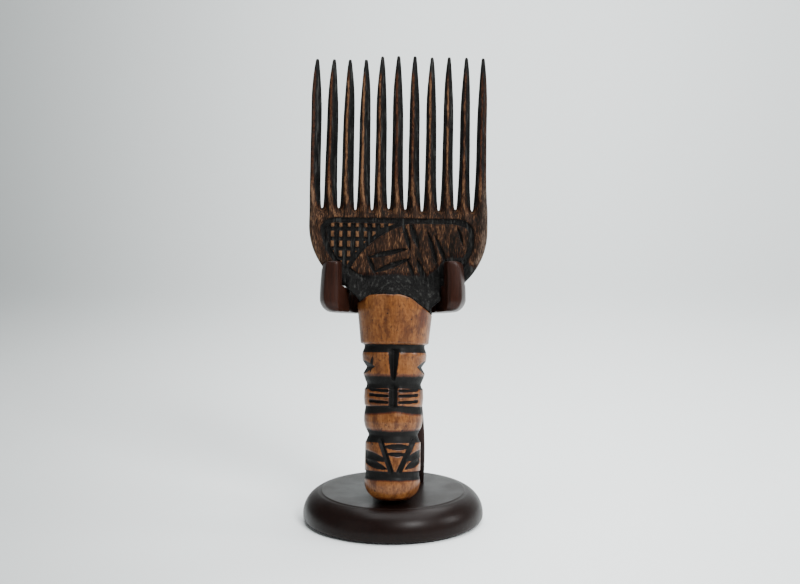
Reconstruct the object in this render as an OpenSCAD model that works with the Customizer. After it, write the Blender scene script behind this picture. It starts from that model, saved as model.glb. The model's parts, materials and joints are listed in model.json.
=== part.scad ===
// Carved wooden hair comb leaning in its own display stand.
// Millimetres, +Z up, the front of the comb faces -Y.
// Origin: centre of the underside of the stand.
// The comb is drawn upright, handle end at z = 0, and then leaned back into the stand.

/* [Comb teeth] */
// Width across the outer teeth
comb_w = 86.8; // [74:0.2:104]
// Number of teeth
tooth_count = 11; // [9:1:11]
// Free length of a tooth
tooth_len = 74.5; // [60:0.5:92]
// Width of a tooth at its middle
tooth_w = 5.7; // [4.6:0.1:5.8]
// Width added to a tooth at its root
root_flare = 1.1; // [0.4:0.1:1.2]
// Length of the pointed part of a tooth
point_len = 36; // [28:1:44]
// Width of the tooth where its point ends
tip_w = 0.9; // [0.6:0.1:1.4]
// Thickness of a tooth at its tip
tip_t = 4.2; // [3:0.1:5.4]

/* [Comb board] */
// Thickness of the board
board_t = 9; // [7.4:0.1:10.8]
// Height of the board from its lowest edge to the tooth roots
board_h = 42; // [40:0.5:48]
// Radius of the rounded shoulders
shoulder_r = 34; // [29:0.5:40]
// Depth of the carved grooves
groove_depth = 1.1; // [0.6:0.1:1.4]
// Width of the groove around the carved panel
border_w = 2.8; // [1.8:0.1:3.4]
// Distance from the edge of the board to that groove
border_inset = 5.6; // [5:0.1:7]
// Radius of the upper corners of the panel
panel_corner_r = 8; // [5:0.5:11]
// Number of upright grooves in the carved grid
grid_columns = 8; // [5:1:9]
// Number of level grooves in the carved grid
grid_rows = 4; // [3:1:5]
// Width of the grid grooves
grid_groove_w = 1.8; // [1:0.1:2.4]
// Spacing of the upright grid grooves
grid_column_step = 4; // [3:0.1:4.6]
// Spacing of the level grid grooves
grid_row_step = 4.8; // [3.6:0.1:5]

/* [Handle] */
// Length of the handle up to the top of its arched end
handle_len = 99; // [84:0.5:118]
// Diameter of the handle under the board
handle_top_d = 36.8; // [33:0.2:42]
// Diameter of the collar at the end of the upper taper
collar_d = 33.2; // [30:0.2:34.6]
// Diameter of the lower, carved part
handle_d = 26.8; // [24:0.2:29]
// Radius of the rounded lower end
end_r = 9; // [6:0.5:11]
// Radius of the arched joint with the board
joint_arc_r = 27; // [24:0.5:34]
// Width of the hidden tongue
tongue_w = 14; // [10:0.5:18]
// Length of the hidden tongue inside the handle
tongue_len = 32; // [24:0.5:40]
// Thickness of the hidden tongue
tongue_t = 7; // [5:0.1:7.2]

/* [Comb in the stand] */
// Angle by which the comb leans back
lean = 10; // [6:0.5:12]
// Angle by which the comb tips to its right
tip_angle = 1; // [0:0.1:1.2]
// Distance of the handle end in front of the centre of the stand
foot_forward = 25; // [20:0.5:27]
// Space under the handle end
foot_gap = 0.5; // [0.4:0.1:4]

/* [Stand base] */
// Widest diameter of the base
base_d = 90; // [80:0.5:110]
// Diameter of its flat top
base_top_d = 72.6; // [68:0.2:76]
// Thickness of the base
base_h = 14.5; // [12:0.1:18]
// Height of its widest line above its underside
base_wide_h = 3; // [2:0.1:4]
// Diameter of the felt pad
pad_d = 80; // [70:0.5:84]
// Thickness of the felt pad
pad_t = 1.5; // [1:0.1:2]
// Depth of the recess that holds the pad
pad_recess = 0.5; // [0.3:0.1:0.8]

/* [Stand post] */
// Widest width of the post
post_w = 27; // [24:0.2:30]
// Width of the post at its top
post_top_w = 18; // [16:0.2:22]
// Height of the widest line of the post above the base
post_wide_h = 16; // [10:0.5:24]
// Radius of the curved sides of the post
post_curve_r = 225; // [190:5:300]
// Thickness of the post
post_t = 10.5; // [9:0.1:12]
// How far the post stands to the right of the centre
post_offset = 2.6; // [0:0.1:3]

/* [Stand cradle] */
// Outer diameter of the cradle
cradle_d = 71; // [66:0.2:76]
// Height of the cradle
cradle_h = 24.5; // [21:0.5:28]
// Height of the low part of the cradle behind the handle
cradle_low_h = 10.6; // [8.5:0.1:11.4]
// Width of the low part
cradle_low_w = 49; // [46:0.5:52]
// Distance from the comb axis to the flat front of the prongs
prong_front = 14; // [12:0.2:16]
// Opening between the prongs at the front
prong_gap = 52.4; // [48:0.2:54]
// Radius of the rounded lower edge
cradle_edge_r = 7; // [5:0.1:8]

/* [Screws] */
// Diameter of the screw shanks
screw_d = 3.5; // [3:0.1:4]
// Diameter of the countersunk heads
screw_head_d = 7; // [6:0.1:7.4]
// Length of the screws under the base
base_screw_len = 30; // [25:1:40]
// Length of the screws in the cradle
cradle_screw_len = 25; // [20:1:30]
// Distance between the two screws of a pair
screw_pitch = 9; // [8.6:0.1:10]
// Diameter of the driver recess
drive_d = 2.6; // [2:0.1:3]

/* [Fits] */
// Space between the comb and the cradle
slide_gap = 0.4; // [0.35:0.05:0.6]
// Space between the handle's round top and the cradle's opening
neck_play = 2.6; // [2.2:0.1:3.4]
// Space left for glue between the tongue and the handle
glue_gap = 0.1; // [0.05:0.01:0.2]

/* [Hidden] */
$fn = 96;

// Finer rounding for arcs of large radius
long_arc = 960;

// Colours
dark_wood = [0.20, 0.13, 0.09];
tan_wood = [0.66, 0.42, 0.22];
stand_wood = [0.17, 0.08, 0.06];
felt_colour = [0.08, 0.08, 0.08];
steel_colour = [0.70, 0.70, 0.68];

// Amount by which a cut runs past a face
past = 1;

// Heights along the comb, from the end of the handle
board_low = handle_len;
root_z = board_low + board_h;
tip_z = root_z + tooth_len;
point_z = tip_z - point_len;
shoulder_z = board_low + shoulder_r;
shoulder_x = comb_w / 2 - shoulder_r;
pitch = (comb_w - tooth_w) / (tooth_count - 1);
flare_z = root_z + tooth_len / 3;
root_w = tooth_w + root_flare;
root_gap = pitch - root_w;

// Circle whose arc runs from full tooth width to the tip
point_side = (tooth_w - tip_w) / 2;
point_r = (point_len * point_len + point_side * point_side) / (2 * point_side);

// Bevels of a tooth: width of the flat left on the ridge and depth of the side face
ridge_w = tooth_w * 0.24;
side_t = board_t * 0.34;
edge_bevel = tooth_w * 0.36;

// Neck: a dome that joins the round handle to the flat board
neck_r = handle_top_d / 2;
neck_z = handle_len - 11;
joint_z = handle_len - joint_arc_r;
tongue_z = joint_z + joint_arc_r - tongue_len;

// Carved panel
panel_top = root_z - 4.6;
panel_edge = border_inset + border_w;
panel_half_w = comb_w / 2 - panel_edge;
grid_left = 1.1 - panel_half_w;
grid_right = grid_left + grid_columns * grid_column_step;
grid_low = shoulder_z - 17.6;
grid_top = grid_low + grid_rows * grid_row_step;

// Leaf outline: an upper and a lower arc that meet at the left point, with the direction of each centre from it
leaf_w = border_w * 0.85;
leaf_top_r = 44.5;
leaf_low_r = 60;
leaf_top_dip = 29;
leaf_low_rise = 50;
leaf_tip_x = -comb_w / 4;
leaf_tip_z = board_low + 13;

// Handle rings, as heights measured from the end of the handle
eye_z = handle_len * 0.19;
cheek_z = handle_len * 0.285;
waist_z = handle_len * 0.32;
belly_z = handle_len * 0.41;
rib_low_z = handle_len * 0.455;
rib_top_z = handle_len * 0.55;
notch_z = handle_len * 0.66;
cuff_z = handle_len * 0.735;
collar_z = handle_len * 0.768;
taper_z = handle_len * 0.93;
waist_r = handle_d / 2 - 1.6;
rib_r = handle_d / 2 + 0.95;
cuff_r = handle_d / 2 + 2.4;
ring_cut = 1.4;
carve_depth = 1.2;

// Stand
base_low = pad_t - pad_recess;
base_top = base_low + base_h;
foot_z = base_top + foot_gap + tan(lean) * 4;
base_r = base_d / 2;
base_edge_h = base_h - base_wide_h;
base_edge_x = (base_d - base_top_d) / 2;
base_edge_r = (base_edge_h * base_edge_h + base_edge_x * base_edge_x) / (2 * base_edge_x);
opening_r = neck_r + neck_play;
cradle_low = handle_len - 8.5;
cradle_r = cradle_d / 2;
post_y = cradle_y(-opening_r - 1.6);
post_rear = post_y + post_t;
screw_y = post_y + post_t / 2;
screw_back = opening_r + 1.6 + post_t / 2;
tip_pivot = handle_len * 0.25;
head_h = (screw_head_d - screw_d) / 2;

// Where a point of the cradle at distance n in front of the comb axis stands, front to back
function cradle_y(n) = -foot_forward + sin(lean) * cradle_low - cos(lean) * n;
// Height of the underside of the cradle at the same distance
function cradle_z(n) = foot_z + cos(lean) * cradle_low + sin(lean) * n;
// Middle of tooth number i
function tooth_x(i) = -comb_w / 2 + tooth_w / 2 + i * pitch;

// Lean of the stand's cradle
module leaned() {
    translate([0, -foot_forward, foot_z]) rotate([-lean, 0, 0]) children();
}

// Pose of the comb: leaned back and tipped a little to its right
module comb_pose() {
    leaned() translate([0, 0, tip_pivot]) rotate([0, tip_angle, 0]) translate([0, 0, -tip_pivot]) children();
}

// A flat shape drawn in x and height, given thickness t about y = 0
module upright(t) {
    rotate([90, 0, 0]) translate([0, 0, -t / 2]) linear_extrude(t) children();
}

// Outline of the board with its rounded shoulders, grown by g
module board_outline(g) {
    intersection() {
        for (side = [-1, 1]) translate([side * shoulder_x, shoulder_z]) circle(shoulder_r + g);
        translate([-comb_w, board_low - shoulder_r]) square([2 * comb_w, 2 * shoulder_r + past]);
    }
    translate([-shoulder_x, board_low - g]) square([2 * shoulder_x, shoulder_r]);
    translate([-comb_w / 2 - g, shoulder_z]) square([comb_w + 2 * g, root_z - shoulder_z]);
}

// Outline of one tooth
module tooth_outline() {
    polygon([
        [-root_w / 2, root_z - past],
        [root_w / 2, root_z - past],
        [tooth_w / 2, flare_z],
        [tooth_w / 2, point_z],
        [-tooth_w / 2, point_z],
        [-tooth_w / 2, flare_z]
    ]);
    intersection() {
        translate([tooth_w / 2 - point_r, point_z]) circle(point_r, $fn = long_arc);
        translate([point_r - tooth_w / 2, point_z]) circle(point_r, $fn = long_arc);
        translate([-tooth_w / 2, point_z]) square([tooth_w, point_len]);
    }
}

// Bevelled cross-section of one tooth, seen along its length
module tooth_section() {
    polygon([
        [-root_w / 2 - past, -side_t / 2],
        [-root_w / 2 - past, side_t / 2],
        [-ridge_w / 2, board_t / 2],
        [ridge_w / 2, board_t / 2],
        [root_w / 2 + past, side_t / 2],
        [root_w / 2 + past, -side_t / 2],
        [ridge_w / 2, -board_t / 2],
        [-ridge_w / 2, -board_t / 2]
    ]);
}

// The wedge in which the comb lies: full thickness at the board, thin at the tips
module comb_wedge() {
    rotate([90, 0, 90]) translate([0, 0, -comb_w]) linear_extrude(2 * comb_w) polygon([
        [-board_t / 2, board_low - past],
        [board_t / 2, board_low - past],
        [board_t / 2, root_z],
        [tip_t / 2, tip_z],
        [-tip_t / 2, tip_z],
        [-board_t / 2, root_z]
    ]);
}

module teeth() {
    for (i = [0:tooth_count - 1]) translate([tooth_x(i), 0, 0]) intersection() {
        upright(board_t) tooth_outline();
        translate([0, 0, root_z - 2 * past]) linear_extrude(tooth_len + 4 * past) tooth_section();
    }
}

// The bevelled long edges of the board
module board_edges() {
    translate([0, 0, board_low - past]) linear_extrude(tip_z - board_low + 2 * past) polygon([
        [-comb_w / 2, -side_t / 2],
        [edge_bevel - comb_w / 2, -board_t / 2],
        [comb_w / 2 - edge_bevel, -board_t / 2],
        [comb_w / 2, -side_t / 2],
        [comb_w / 2, side_t / 2],
        [comb_w / 2 - edge_bevel, board_t / 2],
        [edge_bevel - comb_w / 2, board_t / 2],
        [-comb_w / 2, side_t / 2]
    ]);
}

// Everything that is carved into the front of the board
module carving() {
    difference() {
        panel(border_inset);
        panel(panel_edge);
    }
    intersection() {
        panel(panel_edge);
        difference() {
            grid();
            leaf(0);
        }
    }
    intersection() {
        panel(border_inset);
        difference() {
            leaf(leaf_w);
            leaf(0);
        }
    }
    intersection() {
        panel(panel_edge);
        leaf_veins();
    }
}

// Outline of the carved panel, set in from the edge of the board by d
module panel(d) {
    w = comb_w / 2 - d;
    top = panel_top + border_inset - d;
    r = panel_corner_r + border_inset - d;
    intersection() {
        board_outline(-d);
        union() {
            translate([-w, board_low]) square([2 * w, top - r - board_low]);
            translate([r - w, board_low]) square([2 * (w - r), top - board_low]);
            for (side = [-1, 1]) translate([side * (w - r), top - r]) circle(r);
        }
    }
}

module grid() {
    for (i = [0:grid_columns - 1])
        translate([grid_left + i * grid_column_step, grid_low - 4]) square([grid_groove_w, grid_top - grid_low + 4]);
    for (j = [0:grid_rows - 1])
        translate([grid_left, grid_low + j * grid_row_step]) square([grid_right - grid_left, grid_groove_w]);
}

// Leaf shape, grown by g: the arcs cross at its left point and run out under the border
module leaf(g) {
    intersection() {
        translate([leaf_tip_x + leaf_top_r * cos(leaf_top_dip), leaf_tip_z - leaf_top_r * sin(leaf_top_dip)]) circle(leaf_top_r + g);
        translate([leaf_tip_x + leaf_low_r * cos(leaf_low_rise), leaf_tip_z + leaf_low_r * sin(leaf_low_rise)]) circle(leaf_low_r + g);
    }
}

// Short cuts inside the leaf: two lens cuts, a stem and seven upright cuts
module leaf_veins() {
    z = leaf_tip_z;
    translate([-4.8, z + 7.2]) rotate(10) lens(20, 2.4);
    translate([-2.4, z + 1.4]) rotate(20) lens(17, 2.4);
    translate([-12.4, z + 2.4]) rotate(-64) lens(8, 1.8);
    translate([4.4, z + 14.6]) rotate(90) lens(10.5, 1.8);
    translate([9.6, z + 14.8]) rotate(82) lens(13, 2.2);
    translate([7.9, z + 0.2]) rotate(-70) lens(10, 1.6);
    translate([12.4, z + 0.6]) rotate(-76) lens(13, 2.2);
    translate([17.4, z + 10.4]) rotate(-76) lens(13, 1.6);
    translate([21.4, z + 9]) rotate(-70) lens(12, 1.6);
    translate([30.8, z + 16]) rotate(-72) lens(9, 1.2);
}

// A pointed lens of length l and width w about the origin
module lens(l, w) {
    r = (l * l + w * w) / (4 * w);
    intersection() {
        translate([0, r - w / 2]) circle(r, $fn = long_arc / 4);
        translate([0, w / 2 - r]) circle(r, $fn = long_arc / 4);
    }
}

// Dome that swells from the board into the top of the handle
module neck() {
    intersection() {
        translate([0, 0, neck_z]) sphere(neck_r);
        translate([-neck_r, -neck_r, neck_z - 10]) cube([2 * neck_r, 2 * neck_r, 10 + neck_r]);
    }
    translate([0, 0, neck_z - 10]) cylinder(h = 10, r = neck_r);
}

// The arched top of the handle, grown by g
module arch(g) {
    rotate([90, 0, 0]) translate([0, joint_z, -neck_r - past]) cylinder(h = 2 * neck_r + 2 * past, r = joint_arc_r + g);
}

module comb_plate() {
    color(dark_wood) comb_pose() {
        difference() {
            union() {
                intersection() {
                    union() {
                        upright(board_t) board_outline(0);
                        teeth();
                    }
                    comb_wedge();
                    board_edges();
                }
                intersection() {
                    neck();
                    translate([-neck_r, -neck_r, joint_z]) cube([2 * neck_r, 2 * neck_r, joint_arc_r + neck_r]);
                }
            }
            arch(glue_gap);
            for (i = [0:tooth_count - 2])
                translate([tooth_x(i) + pitch / 2, 0, root_z])
                    rotate([90, 0, 0]) cylinder(h = board_t + 2 * past, d = root_gap * 0.7, center = true);
            translate([0, groove_depth - board_t / 2, 0]) rotate([90, 0, 0]) linear_extrude(groove_depth + past) carving();
        }
        translate([-tongue_w / 2, -tongue_t / 2, tongue_z]) cube([tongue_w, tongue_t, tongue_len + 2]);
    }
}

// Turned profile of the handle, from its axis outwards
module handle_profile() {
    r = handle_d / 2;
    polygon([
        [0, end_r],
        [r, end_r],
        [r, cheek_z],
        [waist_r, cheek_z + 2],
        [waist_r, waist_z],
        [r, waist_z + 3],
        [r + 0.5, belly_z],
        [r, rib_low_z],
        [rib_r, rib_low_z + 2],
        [rib_r, rib_top_z - 2],
        [r - 0.35, rib_top_z + 0.6],
        [r + 1.4, rib_top_z + 5],
        [cuff_r, notch_z + 2],
        [cuff_r, cuff_z],
        [cuff_r - ring_cut, cuff_z + 1.6],
        [collar_d / 2, collar_z],
        [handle_top_d / 2, taper_z],
        [handle_top_d / 2, handle_len],
        [0, handle_len]
    ]);
    square([r - end_r, end_r + past]);
    intersection() {
        translate([r - end_r, end_r]) circle(end_r);
        square([r, end_r]);
    }
}

// Cuts a flat shape into the front of the handle down to the radius r
module face_cut(r) {
    difference() {
        rotate([90, 0, 0]) linear_extrude(handle_top_d) children();
        translate([0, 0, -past]) cylinder(h = handle_len + 2 * past, r = r);
    }
}

// Ring of square section that cuts into both sides of the handle, leaving the middle of the front
module side_ring(z, h, r, clear_w) {
    difference() {
        translate([0, 0, z]) cylinder(h = h, r = handle_top_d);
        translate([0, 0, z - past]) cylinder(h = h + 2 * past, r = r);
        translate([-clear_w / 2, -handle_top_d - past, z - past]) cube([clear_w, handle_top_d, h + 2 * past]);
    }
}

module handle() {
    low_r = handle_d / 2 - carve_depth;
    color(tan_wood) comb_pose() difference() {
        intersection() {
            rotate_extrude() handle_profile();
            union() {
                arch(0);
                translate([-neck_r, -neck_r, -past]) cube([2 * neck_r, 2 * neck_r, joint_z + past]);
            }
        }
        // Space for the tongue
        translate([-tongue_w / 2 - glue_gap, -tongue_t / 2 - glue_gap, tongue_z - past])
            cube([tongue_w + 2 * glue_gap, tongue_t + 2 * glue_gap, tongue_len + 4]);
        // Gash under the collar
        face_cut(cuff_r - 2.4) polygon([
            [-2.9, cuff_z + 1.6],
            [2.9, cuff_z + 1.6],
            [1.9, notch_z - 3],
            [0, rib_top_z + 3.4],
            [-1.9, notch_z - 3]
        ]);
        // Notches beside the gash and ribs under it
        side_ring(notch_z - 1, 2, cuff_r - 2.6, 15);
        for (j = [0:2]) side_ring(rib_low_z + 1.4 + j * 3, 1.2, rib_r - 1.3, 6.4);
        face_cut(rib_r - 1.3) translate([-2.3, rib_low_z + 1.4]) square([4.6, rib_top_z - rib_low_z]);
        // Nose between two slanting grooves, with two lens cuts
        for (side = [-1, 1]) face_cut(low_r) polygon([
            [side * 6.2, cheek_z + 1],
            [side * 8.2, cheek_z + 1],
            [side * 1.8, eye_z - 4],
            [side * 0.9, eye_z - 2.6]
        ]);
        face_cut(low_r) translate([0, cheek_z - 1]) lens(11, 2.4);
        face_cut(low_r) translate([0, cheek_z - 4.8]) lens(8.4, 1.8);
        // Eyes and the grooves over them
        for (side = [-1, 1]) {
            face_cut(low_r) translate([side * 8.6, eye_z]) rotate(side * 14) lens(9, 3);
            face_cut(low_r + 0.4) translate([side * 9.8, eye_z + 4.4]) rotate(side * 4) lens(8, 2);
        }
        // Line under the eyes
        side_ring(eye_z - 6.4, 1.6, low_r + 0.5, 0.1);
    }
}

module base_disc() {
    color(stand_wood) difference() {
        translate([0, 0, base_low]) rotate_extrude() intersection() {
            union() {
                translate([base_r - base_edge_r, base_wide_h]) circle(base_edge_r);
                square([base_r - base_edge_r, base_h]);
            }
            square([base_r + past, base_h]);
        }
        translate([0, 0, base_low - past]) cylinder(h = pad_recess + past, d = pad_d + 2 * glue_gap);
        base_screw_holes();
    }
}

module base_pad() {
    color(felt_colour) cylinder(h = pad_t, d = pad_d);
}

// Countersunk screw with its head up, the top of the head at z = 0
module screw(length) {
    difference() {
        union() {
            translate([0, 0, -head_h]) cylinder(h = head_h, d1 = screw_d, d2 = screw_head_d);
            translate([0, 0, -length]) cylinder(h = length, d = screw_d);
            translate([0, 0, -length - screw_d / 2]) cylinder(h = screw_d / 2, d1 = 0.6, d2 = screw_d);
        }
        for (turn = [0, 90]) rotate(turn) translate([-drive_d / 2, -0.4, -1.2]) cube([drive_d, 0.8, 2.2]);
    }
}

// Room for a screw: the same shape grown by the glue gap, open above its head
module screw_room(length) {
    g = glue_gap;
    translate([0, 0, -head_h]) cylinder(h = head_h, d1 = screw_d + 2 * g, d2 = screw_head_d + 2 * g);
    cylinder(h = 3, d = screw_head_d + 2 * g);
    translate([0, 0, -length - screw_d]) cylinder(h = length + screw_d, d = screw_d + 2 * g);
}

// Places a pair of upside-down screws under the base
module under_base() {
    for (side = [-1, 1])
        translate([post_offset + side * screw_pitch / 2, screw_y, pad_t + 0.2]) rotate([180, 0, 0]) children();
}

// Places a pair of screws in the low part of the cradle
module in_cradle() {
    for (side = [-1, 1]) leaned()
        translate([post_offset + side * screw_pitch / 2, screw_back, cradle_low + cradle_low_h - 0.3]) children();
}

module base_screw_holes() {
    under_base() screw_room(base_screw_len);
}

module base_screws() {
    color(steel_colour) under_base() screw(base_screw_len);
}

module cradle_screws() {
    color(steel_colour) in_cradle() screw(cradle_screw_len);
}

// Front view of the post: arcs on both sides of its foot, straight above
module post_outline() {
    height = cradle_z(0) - base_top + past;
    intersection() {
        translate([post_w / 2 - post_curve_r, base_top + post_wide_h]) circle(post_curve_r, $fn = long_arc);
        translate([post_curve_r - post_w / 2, base_top + post_wide_h]) circle(post_curve_r, $fn = long_arc);
        translate([-post_w, base_top]) square([2 * post_w, height]);
    }
    translate([-post_top_w / 2, base_top]) square([post_top_w, height]);
}

module post() {
    color(stand_wood) difference() {
        translate([post_offset, post_y + post_t / 2, 0]) upright(post_t) post_outline();
        leaned() translate([-base_r, -base_r, cradle_low]) cube([base_d, base_d, cradle_h]);
        base_screw_holes();
        in_cradle() screw_room(cradle_screw_len);
    }
}

// Turned body of the cradle: rounded lower edge and a wall that narrows upwards
module cradle_profile() {
    polygon([
        [0, 0],
        [cradle_r - cradle_edge_r, 0],
        [cradle_r, cradle_edge_r],
        [cradle_r - 1.2, cradle_h - 1.4],
        [cradle_r - 2.8, cradle_h],
        [0, cradle_h]
    ]);
    intersection() {
        translate([cradle_r - cradle_edge_r, cradle_edge_r]) circle(cradle_edge_r);
        square([cradle_r, cradle_edge_r]);
    }
}

// Opening of the cradle seen from above: round behind the handle, wider at the front
module cradle_opening() {
    circle(opening_r);
    polygon([
        [-opening_r, 0],
        [opening_r, 0],
        [prong_gap / 2, -prong_front],
        [prong_gap / 2, -cradle_r - past],
        [-prong_gap / 2, -cradle_r - past],
        [-prong_gap / 2, -prong_front]
    ]);
}

module cradle() {
    bevel_r = cradle_edge_r - 1;
    color(stand_wood) difference() {
        leaned() translate([0, 0, cradle_low]) difference() {
            rotate_extrude() cradle_profile();
            translate([0, 0, -past]) linear_extrude(cradle_h + 2 * past) cradle_opening();
            // Flat front of the prongs
            translate([-cradle_r, -prong_front - cradle_r, -past]) cube([cradle_d, cradle_r, cradle_h + 2 * past]);
            // Low part behind the handle
            translate([-cradle_low_w / 2, -cradle_r, cradle_low_h]) cube([cradle_low_w, cradle_d, cradle_h]);
            // Rounded lower edge of the prong fronts
            difference() {
                translate([-cradle_r, -prong_front - past, -past]) cube([cradle_d, bevel_r + past, bevel_r + past]);
                translate([-cradle_r - past, bevel_r - prong_front, bevel_r])
                    rotate([0, 90, 0]) cylinder(h = cradle_d + 2 * past, r = bevel_r);
            }
        }
        // Seat for the shoulders of the board
        comb_pose() upright(board_t + 2 * slide_gap) board_outline(slide_gap);
        in_cradle() screw_room(cradle_screw_len);
    }
}

base_disc();
base_pad();
post();
cradle();
base_screws();
cradle_screws();
handle();
comb_plate();
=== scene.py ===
# %% [markdown]
# # A carved wooden hair comb resting in its display stand
# The comb has a dark, coarse board with eleven long teeth, and a lighter carved handle whose
# grooves were burnt black. It leans in a dark lacquered stand: a turned base, an upright post and
# a cradle. The working model arrives first as a fixed frame. Everything made here lines up with
# that frame, rides on its bodies and stays inside its size.

# %% Load the fixed frame
import json
import math

import bpy
import numpy as np
import openvdb
from mathutils import Matrix, Vector


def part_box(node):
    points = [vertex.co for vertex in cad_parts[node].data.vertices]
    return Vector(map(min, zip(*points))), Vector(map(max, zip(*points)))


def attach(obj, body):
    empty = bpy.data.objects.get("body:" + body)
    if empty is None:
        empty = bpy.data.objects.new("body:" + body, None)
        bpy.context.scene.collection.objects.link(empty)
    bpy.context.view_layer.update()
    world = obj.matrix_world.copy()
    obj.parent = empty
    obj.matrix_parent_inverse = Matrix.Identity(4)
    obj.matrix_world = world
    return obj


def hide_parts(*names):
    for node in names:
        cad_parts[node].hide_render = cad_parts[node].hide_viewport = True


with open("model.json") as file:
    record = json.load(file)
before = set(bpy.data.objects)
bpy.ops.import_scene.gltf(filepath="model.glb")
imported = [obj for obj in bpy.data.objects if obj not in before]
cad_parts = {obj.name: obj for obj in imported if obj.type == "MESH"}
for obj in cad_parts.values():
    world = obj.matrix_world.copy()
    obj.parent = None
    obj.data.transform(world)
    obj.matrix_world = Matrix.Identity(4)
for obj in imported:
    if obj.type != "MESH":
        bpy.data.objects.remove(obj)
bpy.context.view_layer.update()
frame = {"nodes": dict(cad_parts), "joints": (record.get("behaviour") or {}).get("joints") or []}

# %% [markdown]
# ## Where the comb lies
# The comb leans back in the stand and tips slightly to its right. It is easiest to carve a comb
# that stands upright, so its pieces are made in their own upright space, in millimetres, and then
# placed by one matrix. The lean and the tip come from the axis along which the comb is lifted
# out.

# %% Pose of the comb and of the leaned stand parts
MM = 0.001
lift_axis = Vector(frame["joints"][0]["axis"]).normalized()
tip = math.asin(lift_axis.x)
lean = math.atan2(lift_axis.y, lift_axis.z)
handle_foot = Vector((0, -25.0, 16.705)) * MM
tip_pivot = Vector((0, 0, 24.75)) * MM
leaned = Matrix.Translation(handle_foot) @ Matrix.Rotation(-lean, 4, "X")
tipped = Matrix.Rotation(tip, 4, "Y")
comb_place = leaned @ Matrix.Translation(tip_pivot) @ tipped @ Matrix.Translation(-tip_pivot)
print("lean", round(math.degrees(lean), 2), "tip", round(math.degrees(tip), 2))

# %% [markdown]
# ## Camera
# The camera looks at the comb from the front, slightly from above, with a long lens so that the
# teeth stay nearly parallel.

# %% Camera
lens_length, look_down = 64.3, 7.52
camera_data = bpy.data.cameras.new("front_camera")
camera_data.sensor_width = 36
camera_data.lens = lens_length
camera_data.clip_end = 50
camera = bpy.data.objects.new("front_camera", camera_data)
bpy.context.scene.collection.objects.link(camera)
camera.location = (0.0035, -0.6963, 0.2068)
camera.rotation_euler = (math.radians(90 - look_down), 0, 0)
bpy.context.scene.camera = camera
print("lens (mm):", lens_length, "looking down (degrees):", look_down)

# %% [markdown]
# ## Soft shapes from distance fields
# Carved wood has no perfectly sharp edges. A distance field makes such shapes naturally: it is a
# number at each point of a block of space, negative inside the wood and positive outside. Soft
# minimum joins two shapes with a fillet and soft maximum cuts one with another and rounds the
# edge. OpenVDB, which comes with Blender, then turns the zero level of the field into a mesh.

# %% Blending helpers
def soft_min(a, b, radius):
    """Union of two fields with a fillet."""
    share = np.clip(0.5 + 0.5 * (b - a) / radius, 0, 1)
    return b + (a - b) * share - radius * share * (1 - share)


def soft_max(a, b, radius):
    """What two fields have in common, with a rounded edge."""
    return -soft_min(-a, -b, radius)


def ease(value, low, high):
    """0 below low, 1 above high and a smooth rise between them."""
    t = np.clip((value - low) / (high - low), 0, 1)
    return t * t * (3 - 2 * t)


def rounded(a, b, radius):
    """Distance outside the rounded corner of two faces; a and b count from the arc's centre."""
    return np.hypot(np.maximum(a, 0), np.maximum(b, 0)) + np.minimum(np.maximum(a, b), 0) - radius


def lens(x, z, start, end, half):
    """A pointed cut from start to end: 1 along its middle, 0 at its rim."""
    dx, dz = end[0] - start[0], end[1] - start[1]
    length = math.hypot(dx, dz)
    along = ((x - start[0]) * dx + (z - start[1]) * dz) / length**2
    off = ((x - start[0]) * dz - (z - start[1]) * dx) / length
    wide = half * np.clip(4 * along * (1 - along), 1e-4, None)
    return np.clip(1 - (off / wide) ** 2, 0, 1) * (along > 0) * (along < 1)


def gouge(x, z, start, end, half):
    """A straight V cut from start to end: 1 along its bottom, 0 at its rim."""
    dx, dz = end[0] - start[0], end[1] - start[1]
    along = np.clip(((x - start[0]) * dx + (z - start[1]) * dz) / (dx * dx + dz * dz), 0, 1)
    away = np.hypot(x - start[0] - along * dx, z - start[1] - along * dz)
    return np.clip(1 - away / half, 0, 1)


middle = np.array(0.0)
print("depth of a lens cut in its middle:", float(lens(middle, middle, (-2, 0), (2, 0), 1)))

# %% From a field to a mesh
def grid_axis(low, high, step):
    """Evenly spaced places that reach from low to high or just past it."""
    return np.arange(low, high + step, step, dtype=np.float32)


def surface(field, corner, step, merge):
    """Points and faces of the zero level of a field sampled every step millimetres from corner."""
    grid = openvdb.FloatGrid(3 * step)
    grid.copyFromArray(np.clip(field, -3 * step, 3 * step).astype(np.float32))
    points, triangles, quads = grid.convertToPolygons(isovalue=0.0, adaptivity=merge)
    points = points * step + np.array(corner, np.float32)
    faces = [f[::-1] for f in triangles.tolist()] + [f[::-1] for f in quads.tolist()]
    return points, faces


print("samples from 0 to 2 mm, 0.4 mm apart:", len(grid_axis(0, 2, 0.4)))

# %% Piece helpers
def make_piece(name, points, faces, place=None, masks=None):
    """A smooth-shaded mesh from points in millimetres, with painted masks stored on its points."""
    mesh = bpy.data.meshes.new(name)
    mesh.from_pydata((points * MM).tolist(), [], faces)
    mesh.validate()
    for mask, values in (masks or {}).items():
        painted_on = mesh.attributes.new(mask, "FLOAT", "POINT").data
        painted_on.foreach_set("value", values.astype(np.float32))
    mesh.polygons.foreach_set("use_smooth", np.ones(len(mesh.polygons), bool))
    piece = bpy.data.objects.new(name, mesh)
    bpy.context.scene.collection.objects.link(piece)
    if place is not None:
        piece.matrix_world = place
    print(name, "has", len(mesh.vertices), "points and", len(mesh.polygons), "faces")
    return piece


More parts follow.
